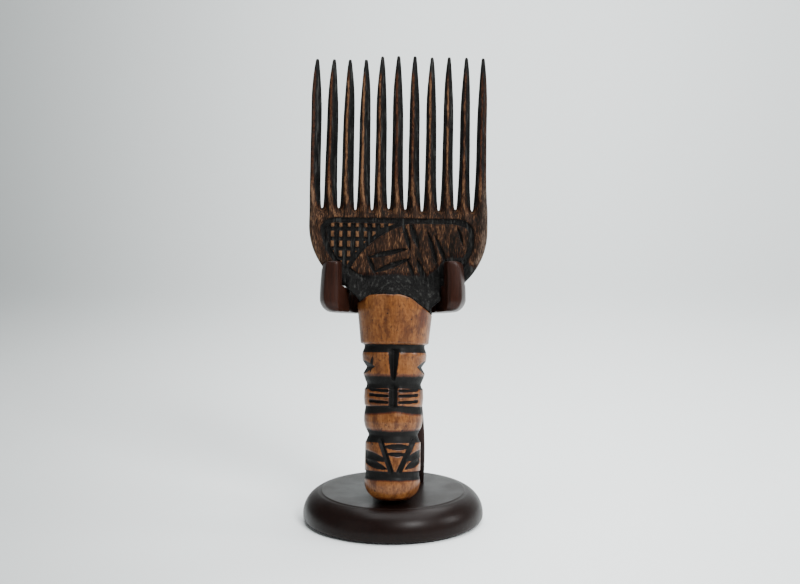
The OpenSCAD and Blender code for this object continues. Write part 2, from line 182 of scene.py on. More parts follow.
def loft(rings):
    """Closed solid through rings that all have the same number of points."""
    rows, count = len(rings), len(rings[0])
    here = np.arange(rows - 1)[:, None] * count + np.arange(count)
    beside = np.roll(here, -1, axis=1)
    faces = np.stack([here, beside, beside + count, here + count], -1).reshape(-1, 4).tolist()
    faces += [list(range(count))[::-1], [(rows - 1) * count + k for k in range(count)]]
    return np.concatenate(rings), faces


def settle(piece, material, body, slot, *nodes):
    """Gives a piece its finish, its body and the nodes that it stands for."""
    piece.data.materials.append(material)
    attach(piece, body)
    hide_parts(*nodes)


print("faces of a closed net of 3 rings of 8 points:", len(loft(np.zeros((3, 8, 3)))[1]))

# %% [markdown]
# ## The board and its teeth
# The board was sawn from one plank, its shoulders rounded, its gaps sawn and filed, and each
# tooth bevelled to a ridge. Cutting it with many booleans would give brittle geometry, and a
# height map can't show the sides of the teeth, so a field is used. Its outline is flat: distances
# in width and height. Thickness is a second flat map, so carving is only a matter of lowering
# that map.

# %% Sizes of the board and the teeth
comb_w, board_low, board_t = 86.8, 99.0, 9.0
shoulder_r = 34.0
shoulder_z = board_low + shoulder_r
shoulder_x = comb_w / 2 - shoulder_r
# The board sits a little to one side, and its right shoulder hangs lower
board_shift, shoulder_drop = 0.8, 2.5
root_z, tip_z, tip_t = 141.0, 216.2, 4.2
tooth_count, tooth_w = 11, 5.7
pitch = (comb_w - tooth_w) / (tooth_count - 1)
# Half the width of a tooth at some heights, from its flared root up to where its point begins
flare_heights = root_z + np.array([-2, 4, 11, 24, 39])
flare_halves = [3.75, 3.3, 3.05, 2.86, 2.74]
point_len, point_half, point_power = 36.0, 0.72, 2.3
# How round the gap ends, the board's edges and the teeth's edges are; how much thinner a tip gets
root_round, board_round, tooth_round, tip_thinning = 1.3, 2.6, 0.7, 0.9
plate_low, plate_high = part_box("comb_plate")
print("plate width in the frame (mm):", round((plate_high.x - plate_low.x) / MM, 1))
print("from tooth to tooth (mm):", round(pitch, 2))

# %% Outline of the board
def board_edge(x, z):
    """Distance outside the board's straight sides and rounded shoulders."""
    bend = shoulder_z - shoulder_drop * ease(x, -8.0, 22.0)
    beside = np.maximum(np.abs(x - board_shift) - shoulder_x, 0)
    return np.hypot(beside, np.maximum(bend - z, 0)) - shoulder_r


board_ends = [board_shift - comb_w / 2, board_shift + comb_w / 2]
print("sides of the board at (mm):", board_ends)

# %% Teeth, each a little different
hand = np.random.default_rng(11)
each_tooth = np.arange(tooth_count)
worn_short = np.where(each_tooth < 4, 1.9, 0.0)
slimmer = np.linspace(0.12, -0.34, tooth_count)
drift = 0.55 * np.sin(each_tooth * 0.62 + 1.2)
ridge_side = np.linspace(-0.95, -0.35, tooth_count) + hand.uniform(-0.15, 0.15, tooth_count)
wave_start = hand.uniform(0, 6.28, tooth_count)
tooth_tips = tip_z - worn_short + hand.uniform(-0.3, 0.3, tooth_count)
print("tooth tips (mm):", tooth_tips.round(1).tolist())

# %% Where each tooth runs
def tooth_index(x):
    """The number of the nearest tooth, from 0 at the left."""
    return np.clip(np.round((x + (comb_w - tooth_w) / 2) / pitch), 0, tooth_count - 1).astype(int)


def up_the_teeth(z):
    """0 at the roots and 1 at the tips."""
    return np.clip((z - root_z) / (tip_z - root_z), 0, 1)


def tooth_middle(i, z):
    """Where the middle of tooth i runs: nearly straight, as filed by hand."""
    wobble = 0.12 * np.sin(z * 0.16 + wave_start[i])
    return i * pitch - (comb_w - tooth_w) / 2 + (drift[i] + wobble) * up_the_teeth(z)


def off_ridge(i, x, z):
    """Distance beside the ridge of tooth i, which doesn't run along its middle."""
    return np.abs(x - tooth_middle(i, z) - ridge_side[i] * ease(z, root_z, root_z + 12))


def tooth_half(i, z):
    """Half the width of tooth i: flared at the root and drawn to a point by two long arcs."""
    slim = slimmer[i]
    plain = np.interp(z, flare_heights, flare_halves) + slim * ease(z, root_z, root_z + 20)
    into_point = np.clip(z - (tooth_tips[i] - point_len), 0, None) / point_len
    return plain - (flare_halves[-1] + slim - point_half) * into_point**point_power


def plate_outline(x, z):
    """Distance outside the whole flat outline, with rounded gap ends."""
    i = tooth_index(x)
    aside = np.abs(x - tooth_middle(i, z)) - tooth_half(i, z)
    tooth = soft_max(soft_max(aside, z - tooth_tips[i], 0.7), root_z - 4 - z, 0.5)
    gap_end = root_z - 0.6 + 0.6 * np.sin(x * 0.21 + 1.9)
    board = np.maximum(board_edge(x, z), z - gap_end)
    return np.maximum(soft_min(board, tooth, root_round), board_edge(x, z))


first_root = float(tooth_half(0, root_z) * 2)
print("width of the first tooth at its root (mm):", round(first_root, 2))

# %% [markdown]
# ## The carving on the front
# The front shows a sunk border, a grid of small raised squares and a large leaf with pointed
# cuts. Each is a function that says how deep the gouge went at a place. The deepest one wins. The
# same function later tells the finish where the grooves are, because they were burnt black.

# %% Sizes of the carving
groove_depth = 1.15
border_inset, border_w = 5.6, 2.8
panel_top, panel_corner = 136.4, 8.0
grid_left, grid_low = -33.0, 116.3
grid_step_x, grid_step_z, grid_columns = 4.0, 4.8, 8
grid_half = 0.95
column_half, row_half = grid_half + 0.35, grid_half + 0.1
grid_right = grid_left + (grid_columns - 1) * grid_step_x + grid_half
# The leaf lies between two circles through its tip; angles say where their centres are
leaf_tip = (-21.7, 112.0)
leaf_top_r, leaf_top_angle = 44.5, math.radians(-29)
leaf_low_r, leaf_low_angle = 60.0, math.radians(50)
leaf_ring = 2.4
# Pointed cuts in the leaf: where each starts and ends, and half its width
leaf_cuts = [
    ((-14.4, 116.9), (6.0, 121.6), 1.5),
    ((-11.4, 109.6), (7.4, 117.0), 1.6),
    ((-14.0, 118.6), (-9.8, 108.6), 1.2),
    ((3.0, 134.4), (6.8, 120.2), 1.3),
    ((6.2, 134.8), (10.8, 121.6), 1.6),
    ((5.2, 116.6), (9.8, 105.4), 1.1),
    ((9.8, 117.2), (14.6, 104.6), 1.6),
    ((15.0, 130.4), (19.8, 114.2), 1.2),
    ((18.6, 128.4), (24.6, 113.8), 1.2),
    ((29.2, 133.2), (32.6, 122.6), 0.8),
]
print("pointed cuts in the leaf:", len(leaf_cuts))

# %% Carving functions
def channel(inside, width):
    """Round groove: 1 in its middle, 0 at both rims; inside runs from 0 to width across it."""
    across = np.clip(inside / width, 0, 1) * 2 - 1
    return np.clip(1 - across**4, 0, 1) * (inside > 0) * (inside < width)


def panel_edge(x, z):
    """Distance outside the panel: it follows the shoulders and has two rounded upper corners."""
    beside = np.abs(x) - (comb_w / 2 - border_inset - panel_corner)
    corner = rounded(beside, z - (panel_top - panel_corner), panel_corner)
    return np.maximum(corner, board_edge(x, z) + border_inset)


print("inside the panel (mm):", -float(panel_edge(np.array(0.0), np.array(120.0))))

# %% The leaf and the grid
def circle_at_tip(x, z, radius, angle):
    """Distance outside a circle that runs through the tip of the leaf."""
    centre_x = leaf_tip[0] + radius * math.cos(angle)
    centre_z = leaf_tip[1] + radius * math.sin(angle)
    return np.hypot(x - centre_x, z - centre_z) - radius


def leaf_edge(x, z):
    """Distance outside the leaf, which is where the two circles overlap."""
    top = circle_at_tip(x, z, leaf_top_r, leaf_top_angle)
    return np.maximum(top, circle_at_tip(x, z, leaf_low_r, leaf_low_angle))


def off_line(place, first, apart):
    """Distance from the nearest of many lines that stand the same way apart."""
    return np.abs((place - first + apart / 2) % apart - apart / 2)


def grid_cut(x, z):
    """Two sets of straight grooves that leave small raised squares."""
    columns = channel(column_half - off_line(x, grid_left, grid_step_x), 2 * column_half)
    rows = channel(row_half - off_line(z, grid_low, grid_step_z), 2 * row_half)
    return np.maximum(columns * (z > grid_low - 5), rows * (z > grid_low - 1.2)) * (x < grid_right)


def carved(x, z):
    """How deep the front is carved, from 0 to 1."""
    panel, leaf = panel_edge(x, z), leaf_edge(x, z)
    in_panel = panel < -border_w
    cut = channel(-panel, border_w) * ease(z, 105, 110)
    cut = np.maximum(cut, grid_cut(x, z) * in_panel * (leaf > leaf_ring * 0.6))
    cut = np.maximum(cut, channel(leaf, leaf_ring) * (panel < -border_w * 0.5))
    for start, end, half in leaf_cuts:
        cut = np.maximum(cut, lens(x, z, start, end, half) * in_panel)
    return cut


border_middle = np.array(panel_top - border_w / 2)
print("border depth (mm):", groove_depth * float(carved(np.array(0.0), border_middle)))

# %% Thickness of the front and the back
def random_dent():
    """The tooth, height, side of the ridge and size of a dent."""
    tooth, height = hand.integers(tooth_count), hand.uniform(root_z + 6, tip_z - 12)
    return tooth, height, hand.choice([-1, 1]), hand.uniform(0.5, 1.1)


nicks = [random_dent() for _ in range(46)]
ridge_half, bevel_slope = 0.5, 1.15


def bevel_drop(x, z):
    """How far the bevels of the teeth fall below the ridge; they fade out in the board."""
    off = off_ridge(tooth_index(x), x, z)
    return bevel_slope * np.maximum(off - ridge_half, 0) * ease(z, root_z - 7, root_z + 6)


def half_thickness(x, z):
    """From the middle of the plank to its face, before carving."""
    up, tooth_tip = up_the_teeth(z), tooth_tips[tooth_index(x)]
    face = board_t / 2 + (tip_t - board_t) / 2 * up
    face = face - tip_thinning * ease(z, tooth_tip - 5, tooth_tip + 0.5)
    return face - bevel_drop(x, z) * (1 - 0.45 * up)


def nick_depth(x, z):
    """Small dents along the ridges of the teeth."""
    depth = np.zeros_like(x)
    for i, height, side, size in nicks:
        there = np.hypot(x - tooth_middle(i, height) - side * 0.9, (z - height) * 0.8)
        depth = np.maximum(depth, 0.55 * size * np.exp(-((there / size) ** 2)))
    return depth


print("the ridges have", len(nicks), "dents")

# %% [markdown]
# ## The neck
# Under the board the plank swells into a round, burnt neck that sits on the handle like a cap.
# Its lower edge isn't level: it is flat in front and laps down at both sides, further on the
# right. The same edge line is used for the top of the handle, so the two woods meet without a
# gap. The comb stands in the open ring of the cradle, so the neck is kept inside that opening
# with a small gap.

# %% Joint line and neck field
neck_r, neck_z, neck_squash = 18.5, 85.0, 0.84
flare_r, flare_out, flare_low, flare_high = 16.9, 3.4, 93.5, 101.5
# The joint's level part, and where and how steeply it falls at the right and at the left
joint_top, joint_wave = 98.9, 0.18
right_bend, right_slope, left_bend, left_slope = 5.4, 0.74, 12.0, 0.6
# The cradle's opening: its radius, its width between the prong ends and how far they reach
opening_r, prong_gap, prong_front = 21.0, 52.4, 14.0
neck_gap = 0.5


def joint_height(x):
    """Height of the joint between the dark and the light wood."""
    past_right, past_left = x - right_bend, -x - left_bend
    right = right_slope * (np.sqrt(past_right**2 + 4) + past_right) / 2
    left = left_slope * (np.sqrt(past_left**2 + 3) + past_left) / 2
    return joint_top - right - left + joint_wave * np.sin(x * 0.9)


def neck_field(x, y, z):
    """A drawn-out dome on a short round stub."""
    rise = neck_squash * np.maximum(z - neck_z, 0)
    return np.sqrt(x * x + y * y + rise**2) - neck_r


def flare_field(x, y, z):
    """The neck widens in front to both sides, just under the board, inside the cradle."""
    widening = flare_out + 0.3 * np.clip(-y, 0, 9)
    reach = flare_r + widening * ease(z + 0.1 * x, flare_low, flare_high)
    front = 9.5 - 9.0 * ease(z, 94.0, 106.0)
    return np.maximum(np.abs(x) - reach, np.maximum(np.maximum(-y - front, y - 0.2), z - 107))


def opening_half(y):
    """Half the width of the cradle's opening: it widens towards the ends of the prongs."""
    return opening_r + (prong_gap / 2 - opening_r) * np.clip(-y / prong_front, 0, 1)


print("joint heights (mm):", joint_height(np.array([-17.0, 0.0, 17.0])).round(1).tolist())

# %% Mesh of the comb plate
step = 0.4
corner, far_corner = (-44.8, -19.6, 82.0), (44.8, 19.6, 218.0)
axis_x, axis_y, axis_z = (grid_axis(low, high, step) for low, high in zip(corner, far_corner))
flat_x, flat_z = np.meshgrid(axis_x, axis_z, indexing="ij")
outline = plate_outline(flat_x, flat_z).astype(np.float32)
plain_face = half_thickness(flat_x, flat_z)
front_face = plain_face - groove_depth * carved(flat_x, flat_z) - nick_depth(flat_x, flat_z)
on_teeth = ease(flat_z, root_z - 4, root_z + 6)
edge_round = board_round + (tooth_round - board_round) * on_teeth
block = np.full((len(axis_x), len(axis_y), len(axis_z)), 3 * step, np.float32)
for j, y in enumerate(axis_y):
    if abs(y) < board_t / 2 + 3 * step:
        face = -y - front_face if y < 0 else y - plain_face
        block[:, j, :] = soft_max(outline, face, edge_round)
print("block of space:", block.shape, "samples")

# %% Joining the neck to the board
neck_reach = 114
near = axis_z < neck_reach
nx, ny, nz = np.meshgrid(axis_x, axis_y, axis_z[near], indexing="ij")
flare_blend = 0.4 + 3.0 * ease(nz, flare_low - 0.5, flare_high - 0.5)
neck = soft_min(neck_field(nx, ny, nz), flare_field(nx, ny, nz), flare_blend)
neck = soft_max(neck, joint_height(nx) - nz, 0.5)
low_block = np.minimum(block[:, :, near], 6)
off_face = np.abs(ny) - board_t / 2
board_there = np.where(off_face < 2 * step, low_block, np.maximum(off_face, 0))
board_there = np.maximum(board_there, outline[:, None, near])
across = nx * math.cos(tip) + (nz - tip_pivot.z / MM) * math.sin(tip)
outside_opening = np.abs(across) - opening_half(ny) + neck_gap
swollen = soft_max(soft_min(board_there, neck, 6.5), outside_opening, 0.6)
swollen = np.minimum(np.maximum(low_block, outline[:, None, near]), swollen)
block[:, :, near] = soft_max(swollen, joint_height(nx) - nz, 0.5)
plate_points, plate_faces = surface(block, corner, step, 0.02)
print("plate mesh:", len(plate_points), "points")

# %% Masks of the comb plate
dull_teeth = 0.22 + 0.2 * np.sin(each_tooth * 1.3 + 1.1)
dull_teeth[0] = 0.5


def plate_char_and_shade(x, y, z, groove, bevel):
    """How dark the wood is, from 0 to 1: charred, and painted shade on the low board in the cradle;
    and how rubbed and lit its outer edges are.
    """
    i = tooth_index(x)
    tips = 0.8 * ease(z, tip_z - 16, tip_z - 4)
    # Pale outer edges: partly rubbed wood, partly a painted highlight where the side light catches
    # the rounded edge, so it is over three times as strong on the right as on the left
    edge_wear_and_highlight = ease(board_edge(x, z), -3.1, -1.9) * ease(z, 106, 116) * (1 - tips)
    edge_wear_and_highlight = edge_wear_and_highlight * (0.3 + 0.7 * ease(x, 0, 30))
    # Below this line the low board is dark: charred next to the neck, and painted shade where the
    # board sits down in the cradle; the painted shade reaches higher beside the right prong, lower
    # at both sides
    char_and_shade_top = 108.6 + 9.5 * ease(x, 14, 27) - 5 * ease(x, 31, 38) - 4 * ease(x, -24, -34)
    char_and_shade_marks = [
        bevel * (1 - 0.9 * edge_wear_and_highlight),
        groove,
        ease(np.hypot(x * 0.62, z - 88), 20.5, 16.5) * (z < 112),
        ease(np.abs(y), board_t / 2 + 0.3, board_t / 2 + 1.6),
        ease(leaf_edge(x, z), 0.4, 1.4) * ease(z, 115, 111) * (x > -37) * (x < 20),
        ease(z, char_and_shade_top + 2.4, char_and_shade_top - 2.4),
        tips,
        dull_teeth[i] * ease(z, root_z + 4, root_z + 20),
    ]
    return np.max(char_and_shade_marks, axis=0), edge_wear_and_highlight


print("duller than the others: tooth", int(np.argmax(dull_teeth)) + 1)

# %% All masks of the comb plate
def plate_masks(points):
    """Burn: charred wood, and painted shade on the low board in the cradle. Crest: rubbed bright by
    handling. Pale edges: rubbed outer edges with a painted highlight, strongest on the right.
    """
    x, y, z = points[:, 0], points[:, 1], points[:, 2]
    off = off_ridge(tooth_index(x), x, z)
    bare = 0.9 * ease(z, root_z + 24, root_z + 2)
    groove = ease(carved(x, z), 0.12, 0.5) * (y < 0)
    bevel = ease(off, 0.4 + 0.8 * bare, 0.95 + bare) * ease(z, root_z - 3, root_z + 6)
    burn, edge_wear_and_highlight = plate_char_and_shade(x, y, z, groove, bevel)
    crest = ease(off, 0.75 + 0.4 * bare, 0.2) * ease(z, root_z - 2, root_z + 8) * (np.abs(y) > 1)
    on_grid = (leaf_edge(x, z) > leaf_ring) & (panel_edge(x, z) < -border_w) & (x < 0) & (y < 0)
    crest = np.maximum(crest, on_grid * (1 - groove) * 0.9)
    return {"burn": burn, "crest": crest, "edge_wear_and_highlight": edge_wear_and_highlight}


plate_mask = plate_masks(plate_points)
print("charred share of the plate:", round(float(plate_mask["burn"].mean()), 2))

# %% [markdown]
# ## The handle
# The handle was turned, then carved in front with a knife: a gash under the collar, ribs at both
# sides of a gap, and below them an abstract upside-down mask made of slanting grooves and pointed
# cuts. Its surface never folds under itself, so the easiest mesh is a turned one: a fine net of
# rings whose radius is lowered where the knife cut. Every cut is a function of where it is in
# front.

# %% Turned profile of the handle
# Height from the lower end and radius of each ring, in millimetres
turned = [
    (9.0, 13.4), (27.9, 13.4), (29.2, 12.7), (31.6, 11.7), (33.4, 12.6), (35.4, 13.6),
    (38.0, 14.2), (40.8, 14.25), (43.4, 13.85), (45.4, 13.55), (46.1, 14.1), (49.6, 14.4),
    (53.6, 14.2), (54.6, 13.3), (56.2, 13.05), (58.0, 13.9), (61.0, 14.95), (65.5, 15.2),
    (70.2, 15.65), (71.6, 15.4), (73.2, 14.7), (74.9, 14.55), (75.25, 14.9), (75.4, 16.4),
    (76.2, 16.55), (92.0, 18.2), (100.0, 18.3),
]
ring_heights, ring_radii = np.array(turned).T
collar_z = 75


def turned_radius(z):
    """The turned radius with its corners softened over half a millimetre."""
    shifts = (-0.3, -0.1, 0.1, 0.3)
    return sum(np.interp(z + shift, ring_heights, ring_radii) for shift in shifts) / len(shifts)


print("widest ring below the collar (mm):", float(ring_radii[ring_heights < collar_z].max()))

# %% Knife cuts in the front of the handle
# Each cut: where it starts and ends, and half its width
nose = [((-5.9, 29.2), (-0.6, 14.6), 1.4), ((9.9, 29.2), (3.2, 14.6), 1.4)]
slots = [((-5.0, 26.5), (9.6, 26.3), 1.5), ((-3.8, 23.0), (7.8, 22.8), 1.1)]
eyes = [((-15.5, 20.2), (-2.4, 15.7), 1.75), ((6.0, 15.9), (14.6, 20.9), 1.75)]
brows = [((-22.0, 24.8), (-1.6, 19.9), 2.3), ((5.2, 19.9), (19.0, 25.6), 2.1)]
crack = ((-11.4, 61.5), (-10.4, 69.6), 0.9)
rib_grooves, notch_z = [53.0, 50.5, 47.5], 64.5
# How deep each kind of cut goes
gash_deep, gap_deep, rib_deep, notch_deep, foot_deep = 2.5, 1.9, 1.05, 1.9, 0.45
nose_deep, slot_deep, eye_deep, brow_deep = 1.5, 0.95, 1.0, 0.6


def gash(x, z):
    """The upright gash under the collar: wide at its top, pointed at its end."""
    half = np.interp(z, [57.8, 60.5, 66.0, 72.5], [0.3, 1.5, 2.3, 2.85])
    return np.clip(1 - np.abs(x + 0.25) / half, 0, 1) * ease(z, 57.6, 58.8) * ease(z, 73.4, 72.6)


def rib_gap(x, z):
    """The gap between the ribs."""
    across = np.clip(1.25 - np.abs(x + 0.2) / 2.05, 0, 1)
    return across * ease(z, 44.6, 45.8) * ease(z, 57.0, 54.4)


def rib_lines(x, z):
    """Three level grooves at each side of the gap."""
    off = np.min([np.abs(z - level - 0.004 * x * x) for level in rib_grooves], axis=0)
    lines = np.clip(1 - (off / 0.8) ** 2, 0, 1)
    return lines * ease(np.abs(x + 0.2), 2.3, 2.7) * ease(np.abs(x), 12.4, 11.0)


def side_notch(x, z):
    """The notch in each side, half way down the cheeks."""
    reach = np.where(x < 0, (-x - 8.9) / 5.0, (x - 10.9) / 3.4)
    return np.clip(np.clip(reach, 0, 1) - np.abs(z - notch_z + 0.25 * reach) / 3.1, 0, 1)


print("cuts in the mask:", len(nose) + len(slots) + len(eyes) + len(brows))

# %% Depth of the cuts
def knife(x, z, front):
    """Depth of all cuts in millimetres; front is 1 on the front half and 0 behind."""
    cuts = [gash_deep * gash(x, z), gap_deep * rib_gap(x, z)]
    cuts += [nose_deep * gouge(x, z, *cut) for cut in nose]
    cuts += [slot_deep * lens(x, z, *cut) ** 0.7 for cut in slots]
    cuts += [eye_deep * lens(x, z, *cut) ** 0.7 for cut in eyes]
    cuts += [brow_deep * lens(x, z, *cut) for cut in brows]
    cuts = [cut * front for cut in cuts]
    cuts += [rib_deep * rib_lines(x, z), notch_deep * side_notch(x, z)]
    cuts += [foot_deep * ease(z, 10.4, 12.2) * ease(z, 14.7, 14.1)]
    return np.max(cuts, axis=0)


print("deepest cut (mm):", round(float(knife(np.array(-0.25), np.array(66.0), 1)), 2))

# %% Where the handle was scorched
# Pale halos around the burnt bands: lower edge, how softly it fades, upper edge, how softly
halos = [
    (69.6, 1.6, 76.0, 0.4), (53.0, 1.4, 62.4, 2.4), (40.2, 2.4, 53.6, 1.2),
    (27.2, 1.4, 35.6, 2.2), (8.6, 2.4, 25.0, 3.4),
]
halo_burn = 0.2


def band(z, low, low_soft, high, high_soft):
    """A burnt band: how softly each of its edges fades is set in millimetres."""
    return ease(z, low - low_soft, low + low_soft) * ease(z, high + high_soft, high - high_soft)


def band_burn(x, z, front):
    """The burnt bands between the rings, which bend down a little at the sides."""
    smile = 0.004 * x * x
    dip = 0.8 * np.exp(-((x - 1) / 4.5) ** 2) * front
    bands = [
        band(z, 71.3, 0.5, 75.2, 0.12),
        band(z, 54.3 - smile, 0.3, 60.2, 2.6),
        band(z, 42.3 + dip - smile, 1.9, 46.0 - smile, 0.25),
        band(z, 28.3, 0.3, 33.8 + smile, 1.8),
        band(z, 10.4, 1.4, 14.7, 0.25),
    ]
    return np.max(bands + [halo_burn * band(z, *halo) for halo in halos], axis=0)


print("halos around the burnt bands:", len(halos))

# %% Burn of the whole handle
def cut_burn(x, z):
    """The scorch inside the cuts of the front."""
    marks = [ease(gash(x, z), 0.0, 0.12), ease(rib_gap(x, z), 0.1, 0.3)]
    marks += [ease(lens(x, z, *crack), 0.1, 0.8)]
    marks += [ease(gouge(x, z, *cut), -0.05, 0.12) for cut in nose]
    marks += [ease(lens(x, z, *cut), 0.0, 0.2) for cut in slots + eyes]
    marks += [ease(lens(x, z + 0.3, a, b, half * 1.1), 0.0, 0.75) for a, b, half in brows]
    return np.max(marks, axis=0)


def handle_burn(x, z, front):
    """Where the handle was scorched, from 0 to 1."""
    marks = [
        band_burn(x, z, front),
        cut_burn(x, z) * front,
        ease(rib_lines(x, z), 0.05, 0.4),
        ease(side_notch(x, z), -0.04, 0.12),
        0.62 * ease(z, 3.4, 0.2),
        0.24 * ease(np.abs(x), 9.5, 13.5) * band(z, 0.0, 1.0, 27.0, 2.0),
        0.2 * ease(z, 94.0, 98.6),
        0.75 * ease(z, 93.5, 97) * ease(np.abs(x), 12, 16),
        0.42 * ease(np.hypot(x - 13.4, (z - 88.0) * 0.5), 4.6, 1.0) * front,
        0.2 * ease(z, 79.0, 76.0) * (z > collar_z + 0.4),
    ]
    return np.max(marks, axis=0)


print("burn in the gash:", float(handle_burn(np.array(-0.25), np.array(66.0), 1)))

# %% Mesh of the handle
ring_count = 320
around = np.linspace(-np.pi, np.pi, ring_count, endpoint=False)
end_r, flat_r = 9.0, 4.4
body_heights = np.arange(end_r + 0.3, 86, 0.3)
top_r, top_low = 18.2, body_heights[-1]
rings = []
for a in np.linspace(0.04, np.pi / 2, 22):
    rings.append((flat_r + end_r * np.sin(a), end_r - end_r * np.cos(a)))
for z in body_heights:
    rings.append((turned_radius(z), z))
for share in np.linspace(0, 1, 26)[1:]:
    z = top_low + share * (joint_height(top_r * np.sin(around)) - 0.05 - top_low)
    rings.append((turned_radius(z), z))
blank_r = np.array([np.broadcast_to(r, ring_count) for r, z in rings])
blank_z = np.array([np.broadcast_to(z, ring_count) for r, z in rings])
front = ease(np.cos(around), 0.0, 0.2)[None, :] * np.ones_like(blank_r)
cut_x = blank_r * np.sin(around)
depth = knife(cut_x, blank_z, front)
for _ in range(2):
    depth = (np.roll(depth, 1, 1) + 2 * depth + np.roll(depth, -1, 1)) / 4
hollow_r = blank_r - depth
handle_net = np.stack([hollow_r * np.sin(around), -hollow_r * np.cos(around), blank_z], -1)
handle_points, handle_faces = loft(handle_net)
handle_mask = {"burn": handle_burn(cut_x, blank_z, front).ravel()}
print("handle net:", len(rings), "rings of", ring_count)

# %% [markdown]
# ## The cradle
# The cradle was turned as a thick ring with a rounded lower edge, then cut open at the front so
# that two prongs remain. A field suits it as well: the ring, its opening, its flat front and the
# seat of the board are each one line, and each cut keeps a softly rounded, lacquered edge.

# %% Sizes of the cradle
cradle_low, cradle_h, cradle_r = 90.5, 24.5, 35.5
cradle_step_h, cradle_step_w = 12.9, 49.0
lower_round, front_round, rim_round, cut_round, seat_round = 7.0, 6.0, 2.6, 1.0, 0.8
wall_taper, seat_gap = 1.4, 0.4
# The two screws stand in pockets: where they are, and the radius and floor of a pocket
screw_x, screw_back, screw_head, screw_floor = (-1.9, 7.1), 27.85, 3.6, 9.8
print("prongs stand above the low part (mm):", round(cradle_h - cradle_step_h, 1))

# %% Ring of the cradle
cradle_step = 0.5
cradle_corner = (-37.0, -16.0, cradle_low - 1.5)
cradle_far = (37, 37, cradle_low + cradle_h + 1.5)
cradle_axes = [grid_axis(low, high, cradle_step) for low, high in zip(cradle_corner, cradle_far)]
cx, cy, cz = np.meshgrid(*cradle_axes, indexing="ij")
up = cz - cradle_low
wall = np.hypot(cx, cy) - (cradle_r - wall_taper * ease(up, lower_round, cradle_h + 6))
ring = rounded(wall + lower_round, lower_round - up, lower_round)
ring = soft_max(ring, up - cradle_h, rim_round)
print("block of space:", ring.shape, "samples")

# %% What is cut out of the ring
opening = np.where(cy > 0, np.hypot(cx, cy), np.abs(cx)) - opening_half(cy)
ring = soft_max(ring, -opening, cut_round)
flat_front = rounded(front_round - prong_front - cy, front_round - up, front_round)
ring = soft_max(ring, flat_front, cut_round)
above_step = np.maximum(np.abs(cx) - cradle_step_w / 2, cradle_step_h - up)
ring = soft_max(ring, -above_step, cut_round)
pivot_z = tip_pivot.z / MM
seat_x = cx * math.cos(tip) - (cz - pivot_z) * math.sin(tip)
seat_z = cx * math.sin(tip) + (cz - pivot_z) * math.cos(tip) + pivot_z
seat = np.maximum(board_edge(seat_x, seat_z), np.abs(cy) - board_t / 2) - seat_gap
ring = soft_max(ring, -seat, seat_round)
for x in screw_x:
    pocket = np.maximum(np.hypot(cx - x, cy - screw_back) - screw_head, screw_floor - up)
    ring = soft_max(ring, -pocket, 0.4)
cradle_points, cradle_faces = surface(ring, cradle_corner, cradle_step, 0.02)
print("cradle mesh:", len(cradle_points), "points")

# %% [markdown]
# ## The post and the base
# The post is a flat upright whose sides bow out near its foot. It is lofted: one rounded
# rectangle after another up its height, each as wide as the bow says. The base is a turned disc
# with a convex edge, so its outline is drawn once and swung around its axis.

# %% Turning helpers
def turn(outline, segments=256):
    """Swings an outline of (radius, height) pairs, from below upwards, around the upright axis."""
    swing = np.linspace(0, 2 * np.pi, segments, endpoint=False)
    circle = np.stack([np.cos(swing), np.sin(swing), np.zeros(segments)], -1)
    return loft([r * circle + (0, 0, z) for r, z in outline])


def arc(centre, radius, start, end, count):
    """Points of an arc in the (radius, height) plane, angles in degrees."""
    angles = np.radians(np.linspace(start, end, count))
    return [(centre[0] + radius * math.cos(a), centre[1] + radius * math.sin(a)) for a in angles]


print("a quarter arc:", [tuple(np.round(p, 2).tolist()) for p in arc((0, 0), 1, 0, 90, 3)])

# %% Base and felt pad
base_low, base_top, base_r, base_flat_r, base_wide_z = 1.0, 15.5, 45.0, 36.3, 4.0
edge_rise, edge_run = base_top - base_wide_z, base_r - base_flat_r
edge_r = (edge_rise**2 + edge_run**2) / (2 * edge_run)
top_angle = math.degrees(math.asin(edge_rise / edge_r))
base_outline = [(20, base_low), (42.6, base_low)] + arc((43.4, 2.3), 1.3, -80, 0, 8)[:-1]
base_outline += arc((base_r - edge_r, base_wide_z), edge_r, -8, top_angle - 5, 34)
base_outline += arc((base_flat_r - 1.1, base_top - 1.2), 1.2, top_angle - 26, 90, 8)
base_outline += [(r, base_top) for r in (base_flat_r - 3, 20, 4)]
base_points, base_faces = turn(base_outline)
pad_outline = [(20, 0.0), (39.0, 0.0)] + arc((39.3, 0.6), 0.6, -60, 60, 8)
pad_outline += [(38.8, 1.5), (20, 1.5)]
pad_points, pad_faces = turn(pad_outline, 192)
print("radius of the convex edge (mm):", round(edge_r, 2), "outline points:", len(base_outline))

# %% Post
post_w, post_top_w, post_t, post_rise = 27.0, 18.0, 10.5, 89.0
post_bow, post_wide_z = 225.0, 31.5
post_x, post_front, post_round = 2.6, 12.97, 1.6
corner_turn = np.radians(np.linspace(0, 90, 7))


def post_ring(share):
    """Rounded rectangle at a share of the height; its top follows the leaned cradle's underside."""
    z = base_top - 0.3 + share * post_rise
    bow = post_bow - math.sqrt(max(post_bow**2 - (z - post_wide_z) ** 2, 0))
    half = max(post_w / 2 - bow, post_top_w / 2)
    ring = []
    for sx, sy, first in ((1, 1, 0), (-1, 1, 90), (-1, -1, 180), (1, -1, 270)):
        middle_x = post_x + sx * (half - post_round)
        middle_y = post_front + post_t / 2 + sy * (post_t / 2 - post_round)
        for a in corner_turn + math.radians(first):
            y = middle_y + post_round * math.sin(a)
            sink = share * math.tan(lean) * (y - post_front)
            ring.append((middle_x + post_round * math.cos(a), y, z - sink))
    return np.array(ring)


post_points, post_faces = loft([post_ring(s) for s in np.linspace(0, 1, 90)])
print("post top (mm):", round(float(post_points[:, 2].max()), 1))

